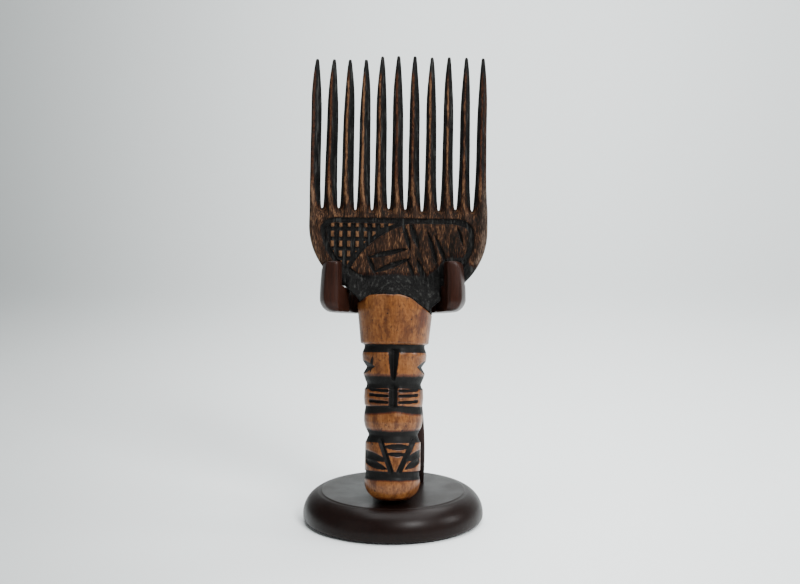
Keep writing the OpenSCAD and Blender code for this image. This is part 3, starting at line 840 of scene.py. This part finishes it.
# %% [markdown]
# ## Building materials from nodes
# Every finish is a network of nodes. Small helpers keep the networks readable: one adds a node
# and connects its inputs, and the others do arithmetic, blend two colours, stretch noise along
# the fibres and build groups. Coordinates come from each piece's own space, so the grain stays in
# the wood when the comb is lifted.

# %% Node helpers
def node(tree, kind, inputs=(), **settings):
    """Adds a node; each input is either a number or colour, or the output of another node."""
    made = tree.nodes.new(kind)
    for key, value in settings.items():
        setattr(made, key, value)
    for key, value in dict(inputs).items():
        if isinstance(value, bpy.types.NodeSocket):
            tree.links.new(value, made.inputs[key])
        else:
            made.inputs[key].default_value = value
    return made


def maths(tree, how, *values):
    """Arithmetic on numbers or outputs."""
    return node(tree, "ShaderNodeMath", dict(enumerate(values)), operation=how).outputs[0]


def plus(tree, a, b):
    """The sum of two numbers or outputs."""
    return maths(tree, "ADD", a, b)


def times(tree, a, b):
    """The product of two numbers or outputs."""
    return maths(tree, "MULTIPLY", a, b)


def scaled(tree, place, factors):
    """A place with each of its axes multiplied by its own factor."""
    inputs = {0: place, 1: factors}
    return node(tree, "ShaderNodeVectorMath", inputs, operation="MULTIPLY").outputs[0]


print("arithmetic with nodes is ready")

# %% Blends and noise
def blend(tree, share, a, b, how="MIX"):
    """Colour a where share is 0 and colour b where it is 1."""
    inputs = {0: share, 6: a, 7: b}
    return node(tree, "ShaderNodeMix", inputs, data_type="RGBA", blend_type=how).outputs[2]


def spread(tree, value, low, high, new_low=0.0, new_high=1.0):
    """Maps low..high to new_low..new_high with soft ends."""
    inputs = dict(enumerate((value, low, high, new_low, new_high)))
    return node(tree, "ShaderNodeMapRange", inputs, interpolation_type="SMOOTHSTEP").outputs[0]


def noise(tree, place, detail, rough=0.5):
    """Cloudy noise between 0 and 1."""
    inputs = {"Vector": place, "Scale": 1.0, "Detail": detail, "Roughness": rough}
    return node(tree, "ShaderNodeTexNoise", inputs).outputs["Fac"]


def stretched_noise(tree, place, stretch, detail=4.0, rough=0.55, turn=(0, 0, 0)):
    """Noise that repeats, along each axis, as often per millimetre as stretch says."""
    inputs = {"Vector": place, "Rotation": turn, "Scale": stretch}
    mapped = node(tree, "ShaderNodeMapping", inputs).outputs[0]
    return noise(tree, mapped, detail, rough)


print("blends and noise are ready")

# %% Group helpers
def shader_group(name, inputs, outputs):
    """A new node group with named sockets; returns the tree, its inputs and its output node."""
    tree = bpy.data.node_groups.new(name, "ShaderNodeTree")
    for label, (kind, value) in inputs.items():
        socket = tree.interface.new_socket(label, in_out="INPUT", socket_type=kind)
        if value is not None:
            socket.default_value = value
    for label, kind in outputs.items():
        tree.interface.new_socket(label, in_out="OUTPUT", socket_type=kind)
    return tree, tree.nodes.new("NodeGroupInput").outputs, tree.nodes.new("NodeGroupOutput")


def finish_group(tree, result, **values):
    """Links values to the group's outputs of the same names."""
    for label, value in values.items():
        tree.links.new(value, result.inputs[label.replace("_", " ")])
    print("node group", tree.name, "has", len(tree.nodes), "nodes")


NUMBER, COLOUR, VECTOR = "NodeSocketFloat", "NodeSocketColor", "NodeSocketVector"
print("kinds of socket:", NUMBER, COLOUR, VECTOR)

# %% [markdown]
# ## Shared effects
# Both woods and the stand show fibres that run along the piece, so one grain group serves all of
# them: it gives long streaks, dark open pores and a height for the bump. A second group scorches
# any wood from a painted mask: brown toast where the mask is weak and black charcoal where it is
# strong, with a ragged border. A third draws fine scratches.

# %% Grain group
grain_tree, given, result = shader_group(
    "wood_grain",
    {"Place": (VECTOR, None), "Fibres": (VECTOR, (2.0, 2.0, 0.16)),
     "Bands": (VECTOR, (0.4, 0.4, 0.04)), "Pore amount": (NUMBER, 0.5)},
    {"Streaks": NUMBER, "Pores": NUMBER, "Height": NUMBER},
)
slow_noise = {"Vector": given["Place"], "Scale": 0.07, "Detail": 1.0}
warp = node(grain_tree, "ShaderNodeTexNoise", slow_noise).outputs["Color"]
sideways = scaled(grain_tree, warp, (2.6, 2.6, 0.0))
bent = {0: given["Place"], 1: sideways}
bent = node(grain_tree, "ShaderNodeVectorMath", bent, operation="ADD").outputs[0]
fibre_place = scaled(grain_tree, bent, given["Fibres"])
fibres = noise(grain_tree, fibre_place, 3.0, 0.6)
bands = noise(grain_tree, scaled(grain_tree, bent, given["Bands"]), 2.0)
pore_noise = noise(grain_tree, scaled(grain_tree, fibre_place, (1.9, 1.9, 1.4)), 1.0)
pore_edge = maths(grain_tree, "MULTIPLY_ADD", given["Pore amount"], 0.12, 0.28)
pores = spread(grain_tree, maths(grain_tree, "SUBTRACT", pore_edge, pore_noise), -0.03, 0.05)
streaks = plus(grain_tree, times(grain_tree, fibres, 0.55), times(grain_tree, bands, 0.45))
height = maths(grain_tree, "SUBTRACT", fibres, times(grain_tree, pores, 0.8))
finish_group(grain_tree, result, Streaks=streaks, Pores=pores, Height=height)

# %% Scorch group
scorch_tree, given, result = shader_group(
    "scorch",
    {"Place": (VECTOR, None), "Wood": (COLOUR, (0.4, 0.2, 0.1, 1)),
     "Charcoal": (COLOUR, (0.015, 0.014, 0.014, 1)), "Burn": (NUMBER, 0.0),
     "Ragged": (NUMBER, 0.3)},
    {"Color": COLOUR, "Char": NUMBER},
)
fine_noise = {"Vector": given["Place"], "Scale": 0.75, "Detail": 4.0}
ragged = node(scorch_tree, "ShaderNodeTexNoise", fine_noise).outputs["Fac"]
uneven = times(scorch_tree, maths(scorch_tree, "SUBTRACT", ragged, 0.5), given["Ragged"])
burnt = plus(scorch_tree, given["Burn"], uneven)
toast = spread(scorch_tree, burnt, 0.03, 0.42)
char = spread(scorch_tree, burnt, 0.34, 0.74)
toasted = blend(scorch_tree, 1.0, given["Wood"], (0.36, 0.22, 0.16, 1), "MULTIPLY")
browned = blend(scorch_tree, toast, given["Wood"], toasted)
scorched = blend(scorch_tree, char, browned, given["Charcoal"])
finish_group(scorch_tree, result, Color=scorched, Char=char)

# %% Scratch group
scratch_tree, given, result = shader_group(
    "fine_scratches",
    {"Place": (VECTOR, None), "Density": (NUMBER, 0.5)},
    {"Scratches": NUMBER, "Smears": NUMBER},
)
# Three directions of scratches, each thin noise drawn out along its own line
directions = [(0.5, (2.4, 2.4, 0.11)), (-0.8, (2.0, 2.0, 0.09)), (1.9, (2.7, 2.7, 0.14))]
lines = []
for angle, stretch in directions:
    field = stretched_noise(scratch_tree, given["Place"], stretch, 2.0, 0.5, (0, angle, 0))
    off_line_level = maths(scratch_tree, "ABSOLUTE", maths(scratch_tree, "SUBTRACT", field, 0.52))
    lines.append(spread(scratch_tree, off_line_level, 0.012, 0.0))
patch = stretched_noise(scratch_tree, given["Place"], (0.16, 0.16, 0.16), 3.0)
dense = times(scratch_tree, given["Density"], 0.2)
shown = spread(scratch_tree, plus(scratch_tree, patch, dense), 0.54, 0.7)
any_line = maths(scratch_tree, "MAXIMUM", lines[0], lines[1])
any_line = maths(scratch_tree, "MAXIMUM", any_line, lines[2])
scratches = times(scratch_tree, any_line, shown)
finish_group(scratch_tree, result, Scratches=scratches, Smears=patch)

# %% Material helpers
def new_material(name):
    """An empty material, its nodes, and the piece's own place in millimetres."""
    material = bpy.data.materials.new(name)
    material.use_nodes = True
    tree = material.node_tree
    own_place = node(tree, "ShaderNodeTexCoord").outputs["Object"]
    return material, tree, scaled(tree, own_place, (1000, 1000, 1000))


def connect(tree, sockets, values):
    """Links or sets sockets by their names, written with _ for a space."""
    for label, value in values.items():
        socket = sockets[label.replace("_", " ")]
        if isinstance(value, bpy.types.NodeSocket):
            tree.links.new(value, socket)
        else:
            socket.default_value = value


def use_group(tree, group, **values):
    """Places a shared effect in a material with values of its own."""
    made = tree.nodes.new("ShaderNodeGroup")
    made.node_tree = group
    connect(tree, made.inputs, values)
    return made.outputs


def plug(material, **values):
    """Feeds the material's own shader; plain numbers are set on its sockets."""
    tree = material.node_tree
    connect(tree, tree.nodes["Principled BSDF"].inputs, values)
    print("finish", material.name, "uses", len(tree.nodes), "nodes")


print("a material starts with its shader and its place in millimetres")

# %% Masks and bumps
def painted(tree, mask):
    """A mask that is stored on the points of the mesh."""
    return node(tree, "ShaderNodeAttribute", attribute_name=mask).outputs["Fac"]


def bump(tree, height, distance, strength=1.0, under=None):
    """A bump as high as distance in millimetres, laid over another one if under is given."""
    inputs = {"Height": height, "Distance": distance * MM, "Strength": strength}
    if under is not None:
        inputs["Normal"] = under
    return node(tree, "ShaderNodeBump", inputs).outputs[0]


print("shared effects:", [group.name for group in bpy.data.node_groups])

# %% [markdown]
# ## Dark plate wood
# The plate is a coarse, almost black wood with orange-brown fibres. Rubbing has brought the
# orange out on everything that stands proud: the tooth ridges, the small squares, the leaf. Fire
# has taken it out of everything that lies deep. The painted crest and burn masks decide which;
# the burn mask also holds painted shade on the low board where it sits in the cradle. The edge
# mask pales the outer edges, partly rubbed wood and partly a painted highlight along the right
# edge. The charcoal isn't plain black either: ash lies on it in thin grey wisps.

# %% Plate finish
plate_finish, tree, place = new_material("dark_plate_wood")
grain = use_group(
    tree, grain_tree, Place=place,
    Fibres=(2.6, 2.6, 0.36), Bands=(0.5, 0.5, 0.08), Pore_amount=0.8)
slant = stretched_noise(tree, place, (2.0, 2.0, 0.3), 3.0, 0.6, (0, 0.32, 0))
rubbed, edge_wear_and_highlight, burn = painted(tree, "crest"), painted(tree, "edge_wear_and_highlight"), painted(tree, "burn")
fibre = plus(tree, times(tree, grain["Streaks"], 0.6), times(tree, slant, 0.4))
across = node(tree, "ShaderNodeSeparateXYZ", {0: place}).outputs["X"]
fibre = plus(tree, plus(tree, fibre, times(tree, across, -0.0005)), times(tree, rubbed, 0.1))
black, umber = (0.0045, 0.0035, 0.0025, 1), (0.026, 0.0115, 0.0062, 1)
orange = (0.13, 0.065, 0.0315, 1)
wood = blend(tree, spread(tree, fibre, 0.43, 0.52), black, umber)
wood = blend(tree, spread(tree, fibre, 0.51, 0.62), wood, orange)
# Pale outer edges: rubbed wood and a painted highlight along the right edge, from grey-brown to tan
grey_brown, rubbed_and_lit_tan = (0.022, 0.0135, 0.0095, 1), (0.14, 0.098, 0.072, 1)
pale_edge_and_highlight = blend(tree, spread(tree, fibre, 0.4, 0.62), grey_brown, rubbed_and_lit_tan)
wood = blend(tree, times(tree, edge_wear_and_highlight, 0.85), wood, pale_edge_and_highlight)
wood = blend(tree, times(tree, grain["Pores"], 0.8), wood, (0.008, 0.005, 0.004, 1))
print("bare plate wood:", len(tree.nodes), "nodes so far")

# %% Plate charcoal, gloss and relief
marks = use_group(tree, scratch_tree, Place=place, Density=1.8)
soot, scratch_grey = (0.0021, 0.002, 0.002, 1), (0.05, 0.05, 0.048, 1)
smear_grey, ash_grey = (0.0105, 0.0105, 0.0098, 1), (0.036, 0.036, 0.034, 1)
charcoal = blend(tree, times(tree, marks["Scratches"], 0.35), soot, scratch_grey)
charcoal = blend(tree, spread(tree, marks["Smears"], 0.45, 0.7, 0, 0.5), charcoal, smear_grey)
ash = stretched_noise(tree, place, (0.8, 0.8, 0.1), 3.0, 0.6, (0, -0.6, 0))
charcoal = blend(tree, spread(tree, ash, 0.53, 0.68, 0, 0.85), charcoal, ash_grey)
burnt_wood = use_group(
    tree, scorch_tree, Place=place, Wood=wood, Charcoal=charcoal, Burn=burn, Ragged=0.55)
gloss = plus(tree, times(tree, fibre, -0.35), times(tree, burnt_wood["Char"], 0.06))
facet_noise = stretched_noise(tree, place, (0.3, 0.3, 0.14), 2.0, 0.4, (0, 0.5, 0))
facets = bump(tree, facet_noise, 1.1, 0.6)
relief = bump(tree, plus(tree, grain["Height"], slant), 0.3, 0.9, facets)
plug(plate_finish, Base_Color=burnt_wood["Color"], Roughness=plus(tree, gloss, 0.66),
     Normal=relief, Specular_IOR_Level=0.07)

# %% [markdown]
# ## Scorched handle wood
# The handle is a fine, honey-coloured wood under a thin worn varnish. Its colour is mottled, with
# darker clouds, short dark flecks and a few deep specks. The grooves were drawn with a hot iron,
# so the scorch has a brown halo before it turns black.

# %% Handle finish
handle_finish, tree, place = new_material("scorched_handle_wood")
grain = use_group(
    tree, grain_tree, Place=place,
    Fibres=(1.5, 1.5, 0.12), Bands=(0.22, 0.22, 0.05), Pore_amount=0.35)
clouds = stretched_noise(tree, place, (0.17, 0.17, 0.08), 4.0, 0.65)
flecks = stretched_noise(tree, place, (0.62, 0.62, 0.4), 4.0, 0.65)
amber, honey = (0.168, 0.062, 0.016, 1), (0.26, 0.108, 0.0315, 1)
cloud_brown, fleck_brown = (0.075, 0.0235, 0.0062, 1), (0.036, 0.013, 0.006, 1)
wood = blend(tree, spread(tree, grain["Streaks"], 0.38, 0.62), amber, honey)
wood = blend(tree, spread(tree, clouds, 0.44, 0.66, 0, 0.9), wood, cloud_brown)
wood = blend(tree, spread(tree, flecks, 0.56, 0.69, 0, 0.7), wood, fleck_brown)
wood = blend(tree, times(tree, grain["Pores"], 0.55), wood, (0.03, 0.011, 0.005, 1))
cells = {"Vector": place, "Scale": 0.17, "Randomness": 1.0}
speck = node(tree, "ShaderNodeTexVoronoi", cells).outputs["Distance"]
wood = blend(tree, spread(tree, speck, 0.105, 0.055), wood, (0.02, 0.01, 0.006, 1))
print("bare handle wood:", len(tree.nodes), "nodes so far")

# %% Handle charcoal, varnish and relief
marks = use_group(tree, scratch_tree, Place=place, Density=0.3)
soot, smear_grey = (0.0018, 0.0018, 0.0017, 1), (0.009, 0.0085, 0.0078, 1)
charcoal = blend(tree, times(tree, marks["Smears"], 0.6), soot, smear_grey)
burn = painted(tree, "burn")
burnt_wood = use_group(
    tree, scorch_tree, Place=place, Wood=wood, Charcoal=charcoal, Burn=burn, Ragged=0.28)
char = burnt_wood["Char"]
gloss = plus(tree, times(tree, char, 0.2), spread(tree, clouds, 0.3, 0.7, 0.34, 0.48))
varnish = maths(tree, "SUBTRACT", 0.3, times(tree, char, 0.27))
facets = bump(tree, stretched_noise(tree, place, (0.14, 0.14, 0.09), 2.0, 0.45), 0.9, 0.5)
relief = maths(tree, "SUBTRACT", grain["Height"], spread(tree, flecks, 0.6, 0.74))
plug(handle_finish, Base_Color=burnt_wood["Color"], Roughness=gloss, Coat_Weight=varnish,
     Normal=bump(tree, relief, 0.1, 0.7, facets), Coat_Roughness=0.24, Specular_IOR_Level=0.1)

# %% [markdown]
# ## Stand lacquer, felt and steel
# The stand is stained a very dark red-brown and lacquered to a satin shine. Grain shows only
# faintly through the stain, dust and handling make the shine a little uneven. The felt pad is
# matt and fuzzy, and the screws are zinc-plated steel with fine turning marks.

# %% Stand finish
stand_finish, tree, place = new_material("dark_stand_lacquer")
grain = use_group(
    tree, grain_tree, Place=place,
    Fibres=(1.1, 1.1, 0.07), Bands=(0.3, 0.3, 0.02), Pore_amount=0.3)
clouds = stretched_noise(tree, place, (0.06, 0.06, 0.04), 3.0, 0.5)
deep_red, red_brown = (0.0085, 0.0032, 0.0022, 1), (0.022, 0.0072, 0.0042, 1)
stain = blend(tree, spread(tree, grain["Streaks"], 0.36, 0.64), deep_red, red_brown)
stain = blend(tree, spread(tree, clouds, 0.4, 0.7, 0, 0.4), stain, (0.03, 0.0098, 0.0058, 1))
stain = blend(tree, times(tree, grain["Pores"], 0.5), stain, (0.006, 0.003, 0.003, 1))
# Darker towards the bottom: the base is near black, and the foot of the post darkens towards it, a
# painted shade where the post stands on the base
rise = node(tree, "ShaderNodeSeparateXYZ", {0: place}).outputs["Z"]
near_black = (0.0046, 0.0021, 0.0017, 1)
stain = blend(tree, spread(tree, rise, 14.0, 42.0, 0.12, 1.0), near_black, stain)
marks = use_group(tree, scratch_tree, Place=place, Density=0.15)
haze = plus(tree, spread(tree, clouds, 0.3, 0.7, 0.31, 0.41), times(tree, marks["Scratches"], 0.06))
plug(stand_finish, Base_Color=stain, Roughness=haze, Normal=bump(tree, grain["Height"], 0.05, 0.5),
     Specular_IOR_Level=0.1, Coat_Weight=0.05, Coat_Roughness=0.25)

# %% Felt finish
felt_finish, tree, place = new_material("black_felt")
fuzz = stretched_noise(tree, place, (3.2, 3.2, 3.2), 4.0, 0.7)
lint = stretched_noise(tree, place, (0.5, 0.5, 0.5), 2.0, 0.5)
black, grey = (0.006, 0.006, 0.007, 1), (0.03, 0.03, 0.032, 1)
plug(felt_finish, Base_Color=blend(tree, spread(tree, fuzz, 0.35, 0.7), black, grey),
     Roughness=spread(tree, lint, 0.3, 0.7, 0.88, 0.98), Normal=bump(tree, fuzz, 0.3),
     Sheen_Weight=0.4)

# %% Screw finish
screw_finish, tree, place = new_material("zinc_steel")
turning = stretched_noise(tree, place, (0.4, 0.4, 5.0), 2.0, 0.5)
tarnish = stretched_noise(tree, place, (0.7, 0.7, 0.7), 4.0, 0.6)
bright, dull = (0.62, 0.62, 0.6, 1), (0.4, 0.39, 0.36, 1)
plug(screw_finish, Base_Color=blend(tree, spread(tree, tarnish, 0.4, 0.7), bright, dull),
     Roughness=spread(tree, tarnish, 0.3, 0.75, 0.24, 0.42), Normal=bump(tree, turning, 0.03),
     Metallic=1.0)

# %% [markdown]
# ## Putting the pieces in place
# Each made piece stands for its node and rides on the body of that node. The screws keep their
# own shape from the frame and only get a finish.

# %% Pieces
plate = make_piece("dark_comb_plate", plate_points, plate_faces, comb_place, plate_mask)
settle(plate, plate_finish, "comb", "plate_wood", "comb_plate")
handle = make_piece("carved_handle", handle_points, handle_faces, comb_place, handle_mask)
settle(handle, handle_finish, "comb", "handle_wood", "handle")
cradle = make_piece("stand_cradle", cradle_points, cradle_faces, leaned)
settle(cradle, stand_finish, "stand", "stand_wood", "cradle")
base = make_piece("stand_base", base_points, base_faces)
settle(base, stand_finish, "stand", "stand_wood", "base_disc")
post = make_piece("stand_post", post_points, post_faces)
settle(post, stand_finish, "stand", "stand_wood", "post")
pad = make_piece("felt_pad", pad_points, pad_faces)
settle(pad, felt_finish, "stand", "felt", "base_pad")
for name in ("base_screws", "cradle_screws"):
    frame["nodes"][name].data.materials.clear()
    frame["nodes"][name].data.materials.append(screw_finish)

# %% [markdown]
# ## Floor and light
# A pale studio sweep, floor and wall in one curve, gives a calm ground without a horizon line.
# The key light from the right and above models the carving, a weaker one from the left fills the
# shadows and a small one at the side draws the edges. The ceiling and wall lights brighten the
# paper, and a pale world stands for the rest of the studio.

# %% Studio sweep
sweep_half, columns = 5.0, 9
bend_r, bend_start, wall_top = 0.9, 0.9, 3.0
sweep_profile = [(-6.0, 0.0), (-0.8, 0.0), (0.0, 0.0), (bend_start, 0.0)]
for a in np.radians(np.linspace(6, 90, 15)):
    sweep_profile.append((bend_start + bend_r * math.sin(a), bend_r * (1 - math.cos(a))))
sweep_profile += [(bend_start + bend_r, 1.8), (bend_start + bend_r, wall_top)]
places_across = np.linspace(-sweep_half, sweep_half, columns)
sweep_points = np.array([(x, y, z) for y, z in sweep_profile for x in places_across]) / MM
starts = [columns * k + j for k in range(len(sweep_profile) - 1) for j in range(columns - 1)]
sweep_faces = [[k, k + 1, k + columns + 1, k + columns] for k in starts]
sweep = make_piece("studio_sweep", sweep_points, sweep_faces)

# %% Paper of the sweep
sweep_finish, tree, place = new_material("studio_paper")
aside, away, _ = node(tree, "ShaderNodeSeparateXYZ", {0: place}).outputs
# Painted shade: the paper darkens to the left, fanning out from a point 0.7 m in front of the comb,
# is painted lighter near the comb and on the far wall, and darker far to the right
fan = maths(tree, "MAXIMUM", plus(tree, away, 700.0), 300.0)
fan = maths(tree, "DIVIDE", aside, fan)
shade = spread(tree, fan, -0.36, 0.04, 0.0, 0.62)
shade = plus(tree, shade, spread(tree, away, 900.0, -50.0, 0.0, 0.34))
shade = plus(tree, shade, spread(tree, away, 900.0, 1900.0, 0.0, 0.14))
shade = maths(tree, "SUBTRACT", shade, spread(tree, fan, 0.12, 0.3, 0.0, 0.14))
shaded_paper, lit_paper = (0.235, 0.25, 0.25, 1), (0.93, 0.975, 0.975, 1)
fuzz = stretched_noise(tree, place, (0.8, 0.8, 0.8), 3.0)
plug(sweep_finish, Base_Color=blend(tree, shade, shaded_paper, lit_paper), Roughness=0.9,
     Normal=bump(tree, fuzz, 0.05, 0.2), Specular_IOR_Level=0.1)
sweep.data.materials.append(sweep_finish)

# %% Lights
def soft_light(name, place, aim, size, power):
    """A square light that looks at a point."""
    light = bpy.data.lights.new(name, "AREA")
    light.size, light.energy = size, power
    lamp = bpy.data.objects.new(name, light)
    lamp.location = place
    lamp.rotation_euler = (Vector(aim) - Vector(place)).to_track_quat("-Z", "Y").to_euler()
    bpy.context.scene.collection.objects.link(lamp)
    print("light", name, "at", place, "with", power, "W")


middle_of_comb = (0, -0.01, 0.12)
soft_light("key", (0.5, -0.85, 0.85), middle_of_comb, 0.36, 17)
soft_light("fill", (-1.2, -1.0, 0.7), middle_of_comb, 1.2, 3)
soft_light("side", (0.9, -0.12, 0.45), middle_of_comb, 0.3, 4)
soft_light("ceiling", (0.25, 0.3, 1.7), (0.25, 0.3, 0), 1.8, 59)
soft_light("wall", (0.5, 0.7, 1.5), (0.4, 1.8, 0.5), 0.8, 16)
world = bpy.data.worlds.new("studio_room")
world.use_nodes = True
background = world.node_tree.nodes["Background"]
background.inputs["Color"].default_value = (0.84, 0.87, 0.88, 1)
background.inputs["Strength"].default_value = 0.3
bpy.context.scene.world = world
